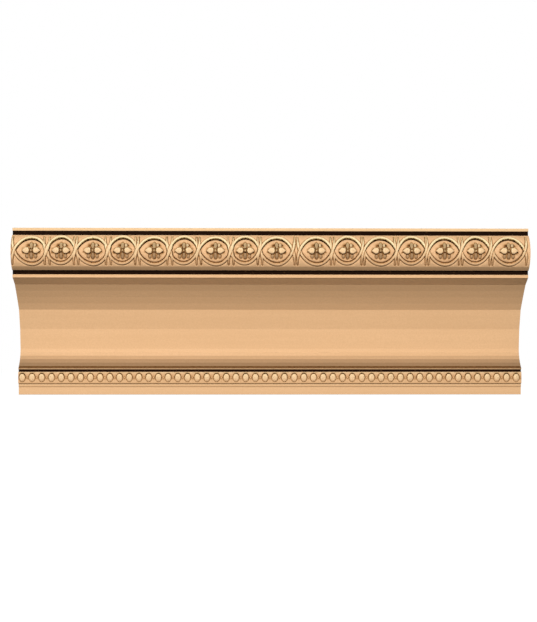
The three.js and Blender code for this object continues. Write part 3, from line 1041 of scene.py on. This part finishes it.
def quirk(start_depth, start, bottom_depth, end, end_depth, mouth):
    """A quirk in the section line: where its painted shade stops at either mouth, and its bottom's corners.
    """
    return [(start_depth - mouth, start, MOUTH_SHADE), (bottom_depth, start, QUIRK_SHADE),
            (bottom_depth, end, QUIRK_SHADE), (end_depth - mouth, end, MOUTH_SHADE)]


def plain_rows_over_top(section, curve, band):
    """Section line from the carved half-round over the top, down the back and up to the beads."""
    corners = [
        *round_edge(curve, 1.0, UPPER_EDGE_NEUTRAL_SHADE),
        *quirk(section.round_edge_depth, section.round_top, section.upper_quirk_depth,
               section.top_fillet_bottom, section.top_fillet_depth, UPPER_MOUTH),
        (section.top_fillet_depth, section.top_fillet_bottom, FILLET_SHADE, 0.0, FILLET_HIGHLIGHT),
        (section.top_fillet_depth, HEIGHT, 0.0, 0.0, FILLET_HIGHLIGHT),
        (0.0, HEIGHT),
        (0.0, 0.0),
        (section.foot_depth, 0.0),
        (section.foot_band_depth, section.foot_band_top),
        (section.foot_fillet_depth, section.foot_fillet_bottom, FILLET_SHADE),
        (section.foot_fillet_depth, section.foot_fillet_top, FOOT_FILLET_SHADE, 0.0, FOOT_FILLET_HIGHLIGHT),
        (section.foot_quirk_depth, section.foot_fillet_top, FOOT_QUIRK_SHADE),
        (section.foot_quirk_depth, section.bead_band_bottom, FOOT_QUIRK_SHADE),
        (section.bead_band_depth, section.bead_band_bottom, BAND_FOOT_SHADE),
        (section.bead_band_depth, band.level - band.reach),
    ]
    return eased(corners, section.easing)


def plain_rows_of_cove(section, curve, band):
    """Section line from the beads up through the cove to the carved half-round."""
    lower = (section.flare_depth, section.flare_start)
    flare = (section.cove_depth, (section.flare_start + section.cove_deepest) / 2)
    deepest = (section.cove_depth, section.cove_deepest)
    belly = (section.cove_depth, (section.cove_deepest + section.cove_arris) / 2)
    arris = (section.cove_arris_depth, section.cove_arris)
    half_throat = (section.throat_top - section.cove_arris) / 2
    throat = (section.cove_arris_depth + section.arris_slope * half_throat, section.cove_arris + half_throat)
    throat_top = (section.throat_depth, section.throat_top)
    top = (section.cove_top_depth, section.cove_top)
    top_middle = tuple((low + high) / 2 for low, high in zip(throat_top, top))

    # Neutral painted shade on the flats: fading out up the flare, growing up the throat.
    def flare_neutral_shade(share):
        return FLARE_NEUTRAL_SHADE - FLARE_NEUTRAL_SHADE * smooth_step(*FLARE_FADE, share)

    def throat_neutral_shade(share):
        return THROAT_NEUTRAL_SHADE * share

    corners = [
        (section.bead_band_depth, band.level + band.reach),
        (section.bead_band_depth, section.bead_band_top, BAND_TOP_SHADE),
        *quirk(section.bead_band_depth, section.bead_band_top, section.lower_quirk_depth,
               section.lower_quirk_top, section.lip_depth, MOUTH),
        (section.lip_depth, section.lower_quirk_top, *LIP_BOTTOM_SHADES),
        (section.lip_depth, section.lip_top, *LIP_TOP_SHADES),
        (section.lip_depth - LIP_CHAMFER, section.lip_top + LIP_CHAMFER, *LIP_BACK_SHADES),
        (*lower, *LIP_BACK_SHADES),
        *swept(lower, flare, deepest, FLARE_FLATS, flare_neutral_shade),
        *swept(deepest, belly, arris, BELLY_FLATS, np.zeros_like),
        *swept(arris, throat, throat_top, THROAT_FLATS, throat_neutral_shade),
        *swept(throat_top, top_middle, top, 1, np.zeros_like),
        (section.middle_fillet_depth, section.cove_top),
        (section.middle_fillet_depth, section.middle_fillet_top, FILLET_SHADE),
        *quirk(section.middle_fillet_depth, section.middle_fillet_top, section.upper_quirk_depth,
               section.round_bottom, section.round_edge_depth, MOUTH),
        *round_edge(curve, -1.0, LOWER_EDGE_NEUTRAL_SHADE)[::-1],
    ]
    return eased(corners, section.easing)


def sawn_faces(mesh):
    """Which faces lie on the square-cut ends, and which on those, the back, the top or the underside."""
    middles = np.empty(3 * len(mesh.polygons))
    mesh.polygons.foreach_get("center", middles)
    along, depth, level = middles.reshape(-1, 3).T
    ends = np.minimum(along - CAD_LOW.x, CAD_HIGH.x - along) < SAWN_MARGIN
    plain = np.minimum.reduce((CAD_HIGH.y - depth, level - CAD_LOW.z, CAD_HIGH.z - level)) < SAWN_MARGIN
    return ends, ends | plain


class CarvedMesh:
    """Gathers the panels and plain strips of the moulding into one closed mesh."""

    def __init__(self, columns):
        self.columns = columns
        self.places = np.empty((0, 3))
        self.light_paints = {"dark_wash": np.empty(0), "painted_neutral_shade": np.empty(0), "painted_highlight": np.empty(0)}
        self.faces = []
        self.is_round = []

    def add_points(self, places, *light_paints):
        """Adds points with their painted shade, neutral shade and highlight, and returns the number of the
        first one.
        """
        first = len(self.places)
        self.places = np.vstack((self.places, places))
        for name, painted_layer in zip(self.light_paints, light_paints):
            self.light_paints[name] = np.append(self.light_paints[name], np.broadcast_to(painted_layer, len(places)))
        return first

    def add_panel(self, panel):
        """Adds a carved panel and moves its border's numbers to this mesh."""
        first = self.add_points(panel.places, panel.wash, panel.neutral_shade, panel.highlight_amount)
        self.faces += [tuple(first + corner for corner in face) for face in panel.faces]
        self.is_round += [True] * len(panel.faces)
        for name in ("lower", "upper", "left", "right"):
            setattr(panel, name, [first + corner for corner in getattr(panel, name)])

    def add_strip(self, rows, below, above):
        """Adds a plain strip between two borders, and returns the numbers along its left and right ends."""
        width = len(self.columns)
        lines = [below]
        for depth, level, *light_paints in rows[1:-1]:
            first = self.add_points(placed(self.columns, depth, level), *light_paints)
            lines.append(list(range(first, first + width)))
        lines.append(above)
        for low, high in zip(lines, lines[1:]):
            for column in range(width - 1):
                self.faces.append((low[column], low[column + 1], high[column + 1], high[column]))
        self.is_round += [False] * (len(lines) - 1) * (width - 1)
        return [line[0] for line in lines[1:-1]], [line[-1] for line in lines[1:-1]]

    def close_ends(self, left, right):
        """Closes both square-cut ends."""
        self.faces.append(tuple(left))
        self.faces.append(tuple(reversed(right)))
        self.is_round += [False, False]

    def made(self, name):
        """The finished mesh: carved parts smooth but for their arrises, plain parts in flats."""
        mesh = bpy.data.meshes.new(name)
        mesh.from_pydata(self.places.tolist(), [], self.faces)
        for label, values in self.light_paints.items():
            mesh.attributes.new(label, "FLOAT", "POINT").data.foreach_set("value", values)
        for label, values in zip(("cut_end", "sawn"), sawn_faces(mesh)):
            mesh.attributes.new(label, "FLOAT", "FACE").data.foreach_set("value", values.astype(np.float32))
        mesh.set_sharp_from_angle(angle=SHARP_ANGLE)
        mesh.polygons.foreach_set("use_smooth", np.array(self.is_round))
        mesh.validate()
        return mesh


def moulding_mesh(settings):
    """The whole moulding as one closed mesh."""
    section = settings.section
    curve = HalfRound(section)
    band = BeadBand(section)
    columns = np.linspace(CAD_LOW.x, CAD_HIGH.x, int(round(LENGTH / COLUMN_STEP)) + 1)
    chain = carved_chain(settings, curve, columns)
    beads = carved_beads(settings, band, columns)
    mesh = CarvedMesh(columns)
    mesh.add_panel(chain)
    mesh.add_panel(beads)
    over = mesh.add_strip(plain_rows_over_top(section, curve, band), chain.upper, beads.lower)
    cove = mesh.add_strip(plain_rows_of_cove(section, curve, band), beads.upper, chain.lower)
    left = chain.left + over[0] + beads.left + cove[0]
    right = chain.right + over[1] + beads.right + cove[1]
    mesh.close_ends(left, right)
    return mesh.made("carved_cornice_moulding")


class NodeBoard:
    """Short way to add and link the nodes of a material."""

    def __init__(self, material):
        material.use_nodes = True
        self.tree = material.node_tree
        self.shader = self.tree.nodes["Principled BSDF"]

    def add(self, kind, inputs=(), **options):
        """Adds a node, sets its options, and links or sets its inputs by name or number."""
        node = self.tree.nodes.new(kind)
        for name, value in options.items():
            setattr(node, name, value)
        for key, value in dict(inputs).items():
            self.feed(node.inputs[key], value)
        return node

    def feed(self, socket, value):
        """Links an output to a socket, or sets its value. A colour is set opaque."""
        if isinstance(value, bpy.types.NodeSocket):
            self.tree.links.new(value, socket)
        elif socket.type == "RGBA":
            socket.default_value = (*value, 1.0)
        else:
            socket.default_value = value

    def shade(self, name, value):
        """Links or sets an input of the shader."""
        self.feed(self.shader.inputs[name], value)

    def mixed(self, share, first, second, blend="MIX"):
        """Colour between two by share, or with MULTIPLY the first one seen through the second."""
        node = self.add("ShaderNodeMix", data_type="RGBA", blend_type=blend)
        sockets = {entry.identifier: entry for entry in node.inputs}
        for name, value in (("Factor_Float", share), ("A_Color", first), ("B_Color", second)):
            self.feed(sockets[name], value)
        return next(entry for entry in node.outputs if entry.identifier == "Result_Color")

    def sum(self, operation, first, second):
        """One step of arithmetic, held between 0 and 1."""
        node = self.add("ShaderNodeMath", {0: first, 1: second}, operation=operation, use_clamp=True)
        return node.outputs[0]

    def times(self, first, second):
        """Product of two values, held between 0 and 1."""
        return self.sum("MULTIPLY", first, second)

    def weighed(self, first, second, shares):
        """Two patterns together, each by its share."""
        return self.sum("ADD", self.times(first, shares[0]), self.times(second, shares[1]))

    def ranged(self, value, low, high, to_low=0.0, to_high=1.0):
        """A value moved from one range to another."""
        inputs = {"Value": value, "From Min": low, "From Max": high, "To Min": to_low, "To Max": to_high}
        return self.add("ShaderNodeMapRange", inputs).outputs["Result"]

    def noise(self, vector, scale, detail):
        """Soft random pattern."""
        inputs = {"Vector": vector, "Scale": scale, "Detail": detail, "Roughness": PATTERN_ROUGHNESS}
        return self.add("ShaderNodeTexNoise", inputs).outputs["Fac"]

    def stretched(self, vector, scales):
        """Places stretched along the grain."""
        return self.add("ShaderNodeMapping", {"Vector": vector, "Scale": scales}).outputs["Vector"]

    def painted(self, name):
        """Values that the mesh holds under a name."""
        return self.add("ShaderNodeAttribute", attribute_name=name).outputs["Fac"]


def timber_material(finish):
    """Pale satin timber: grain along the length, painted shade in the hollows, painted highlights on crests,
    end grain.
    """
    material = bpy.data.materials.new("satin_timber")
    board = NodeBoard(material)
    place = board.add("ShaderNodeTexCoord").outputs["Object"]
    grain = board.noise(board.stretched(place, GRAIN_STRETCH), *GRAIN)
    fibres = board.noise(board.stretched(place, FIBRE_STRETCH), *FIBRES)
    clouds = board.noise(place, *CLOUDS)
    specks = board.noise(place, *SPECKS)
    pores = board.noise(place, *PORES)
    lines = board.ranged(board.weighed(grain, fibres, GRAIN_SHARES), *GRAIN_RANGE)
    timber = board.mixed(board.times(lines, GRAIN_WEIGHT), finish.pale, finish.deep)
    timber = board.mixed(board.ranged(clouds, *CLOUD_RANGE, 0.0, CLOUD_WEIGHT), timber, finish.deep)
    timber = board.mixed(board.ranged(pores, *PORE_RANGE, 0.0, PORE_WEIGHT), timber, finish.deep)

    sawn = board.painted("sawn")
    finished = board.ranged(sawn, 0.0, 1.0, 1.0, 0.0)
    timber = board.mixed(board.times(board.times(lines, SAWN_WEIGHT), sawn), timber, finish.end_grain)
    growth = {"Vector": place, **GROWTH_RINGS}
    rings = board.add("ShaderNodeTexWave", growth, wave_type="RINGS", rings_direction="X")
    rings = board.ranged(rings.outputs["Fac"], 0.0, 1.0, *RING_WEIGHTS)
    end_colour = board.mixed(rings, finish.pale, finish.end_grain)
    timber = board.mixed(board.painted("cut_end"), timber, end_colour)

    # Neutral painted shade: colour mixed towards near black on the cove's flats, lower edges, lower strands
    # and leaves.
    timber = board.mixed(board.times(board.painted("painted_neutral_shade"), finished), timber, finish.thick_wash)
    # Painted highlight: upper crests, raised tops and upper edges lightened towards pale yellow.
    worn = board.times(board.painted("painted_highlight"), finished)
    timber = board.mixed(board.times(worn, HIGHLIGHT_WEIGHT), timber, finish.worn)
    # Painted shade: quirks, hollows, steep sides and the lee under raised parts darkened through brown
    # tints, patchy at random.
    patchy = board.ranged(specks, *PATCH_RANGE, *PATCH_WEIGHTS)
    wash = board.times(board.times(board.painted("dark_wash"), patchy), finished)
    painted_layer = board.add("ShaderNodeValToRGB", {"Fac": wash})
    stops = painted_layer.color_ramp.elements
    stops[0].color = (*WHITE, 1.0)
    stops[1].color = (*finish.thick_wash, 1.0)
    stops.new(THIN_SHADE_STOP).color = (*finish.thin_wash, 1.0)
    stops.new(DEEP_SHADE_STOP).color = (*finish.deep_wash, 1.0)
    board.shade("Base Color", board.mixed(1.0, timber, painted_layer.outputs["Color"], "MULTIPLY"))
    board.shade("Specular IOR Level", finish.sheen)

    smoothest, roughest = (finish.roughness + spread for spread in SATIN_SPREAD)
    satin = board.ranged(board.weighed(lines, specks, SATIN_SHARES), *SATIN_RANGE, smoothest, roughest)
    board.shade("Roughness", board.sum("ADD", satin, board.times(wash, SHADE_PAINT_ROUGHNESS)))
    surface = board.weighed(fibres, specks, SURFACE_SHARES)
    strength = board.ranged(sawn, 0.0, 1.0, *BUMP_STRENGTHS)
    bump = board.add("ShaderNodeBump", {"Height": surface, "Strength": strength, "Distance": BUMP_DEPTH})
    board.shade("Normal", bump.outputs["Normal"])
    return material


def floor_material():
    """Pale floor that glows a little, as a lit studio floor does."""
    material = bpy.data.materials.new("pale_floor")
    board = NodeBoard(material)
    shade = board.noise(board.add("ShaderNodeTexCoord").outputs["Object"], *FLOOR_PATTERN)
    board.shade("Base Color", board.mixed(board.ranged(shade, *PATCH_RANGE), *FLOOR_SHADES))
    board.shade("Roughness", FLOOR_ROUGHNESS)
    board.shade("Emission Color", WHITE)
    board.shade("Emission Strength", 1.0)
    material.cycles.emission_sampling = "NONE"
    return material


def shown(context, name, data):
    """A new object with its data, put in the scene."""
    piece = bpy.data.objects.new(name, data)
    context.scene.collection.objects.link(piece)
    return piece


class CORNICE_OT_carve_moulding(bpy.types.Operator):
    """Carve the moulding in place of its plain solid"""
    bl_idname = "cornice.carve_moulding"
    bl_label = "Carve Moulding"

    def execute(self, context):
        settings = context.scene.cornice
        piece = shown(context, "carved_cornice_moulding", moulding_mesh(settings))
        piece.data.materials.append(timber_material(settings.finish))
        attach(piece, "root")
        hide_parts("cornice_moulding")
        return {"FINISHED"}


class CORNICE_OT_set_studio(bpy.types.Operator):
    """Set the pale floor, the soft lights and the camera"""
    bl_idname = "cornice.set_studio"
    bl_label = "Set Studio"

    def execute(self, context):
        studio = context.scene.cornice.studio
        self.lay_floor(context, studio)
        self.light_world(context)
        self.hang_lights(context, studio)
        self.place_camera(context, studio)
        return {"FINISHED"}

    def lay_floor(self, context, studio):
        half = studio.floor_side / 2
        level = CAD_LOW.z - studio.floor_drop
        mesh = bpy.data.meshes.new("studio_floor")
        corners = [(-half, -half, level), (half, -half, level), (half, half, level), (-half, half, level)]
        mesh.from_pydata(corners, [], [(0, 1, 2, 3)])
        mesh.materials.append(floor_material())
        floor = shown(context, "studio_floor", mesh)
        floor.visible_diffuse = False
        floor.visible_glossy = False

    def light_world(self, context):
        world = bpy.data.worlds.new("pale_studio")
        context.scene.world = world
        world.use_nodes = True
        background = world.node_tree.nodes["Background"]
        background.inputs["Color"].default_value = (*WHITE, 1.0)
        background.inputs["Strength"].default_value = 1.0
        world.cycles_visibility.diffuse = False
        world.cycles_visibility.glossy = False
        context.scene.view_settings.view_transform = "Standard"

    def hang_lights(self, context, studio):
        flat = math.cos(studio.key_height)
        key = Vector((-math.sin(studio.key_turn) * flat, -math.cos(studio.key_turn) * flat,
                      math.sin(studio.key_height)))
        lights = (
            ("key_light", key, studio.key_size, studio.key_power),
            ("front_fill", FRONT, studio.fill_size, studio.fill_power),
            ("rear_fill", REAR_RIGHT, studio.fill_size, studio.key_power),
            ("left_fill", REAR_LEFT, studio.fill_size, studio.left_power),
        )
        for name, direction, size, watts in lights:
            data = bpy.data.lights.new(name, "AREA")
            data.size = size
            data.energy = watts
            light = shown(context, name, data)
            light.location = (CAD_LOW + CAD_HIGH) / 2 + direction * studio.light_distance
            light.rotation_euler = direction.to_track_quat("Z", "Y").to_euler()

    def place_camera(self, context, studio):
        data = bpy.data.cameras.new("photograph_camera")
        data.lens = studio.focal_length
        camera = shown(context, "photograph_camera", data)
        back = Vector((-math.sin(studio.camera_turn), -math.cos(studio.camera_turn), 0.0))
        target = Vector((studio.aim_across, CAD_HIGH.y, studio.camera_rise))
        camera.location = target + back * studio.camera_distance
        roll = Quaternion(back, studio.camera_roll)
        camera.rotation_euler = (roll @ (-back).to_track_quat("-Z", "Y")).to_euler()
        context.scene.camera = camera


class CORNICE_PT_sidebar(bpy.types.Panel):
    """Lists the cornice's operators and sizes"""
    bl_label = "Cornice"
    bl_idname = "CORNICE_PT_sidebar"
    bl_space_type = "VIEW_3D"
    bl_region_type = "UI"
    bl_category = "Cornice"

    def draw(self, context):
        settings = context.scene.cornice
        self.layout.operator(CORNICE_OT_carve_moulding.bl_idname)
        self.layout.operator(CORNICE_OT_set_studio.bl_idname)
        for part in settings.__annotations__:
            group = getattr(settings, part)
            box = self.layout.box()
            for name in group.__annotations__:
                box.prop(group, name)


CLASSES = (
    CorniceSection,
    RingChain,
    Rosette,
    BeadRow,
    TimberFinish,
    Studio,
    CorniceSettings,
    CORNICE_OT_carve_moulding,
    CORNICE_OT_set_studio,
    CORNICE_PT_sidebar,
)


def register():
    """Registers the classes and hangs the settings on the scene."""
    for entry in CLASSES:
        bpy.utils.register_class(entry)
    bpy.types.Scene.cornice = PointerProperty(type=CorniceSettings)


def unregister():
    """Takes the settings and the classes away again."""
    del bpy.types.Scene.cornice
    for entry in reversed(CLASSES):
        bpy.utils.unregister_class(entry)


def main():
    """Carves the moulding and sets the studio."""
    register()
    bpy.ops.cornice.carve_moulding()
    bpy.ops.cornice.set_studio()


if __name__ == "__main__":
    main()
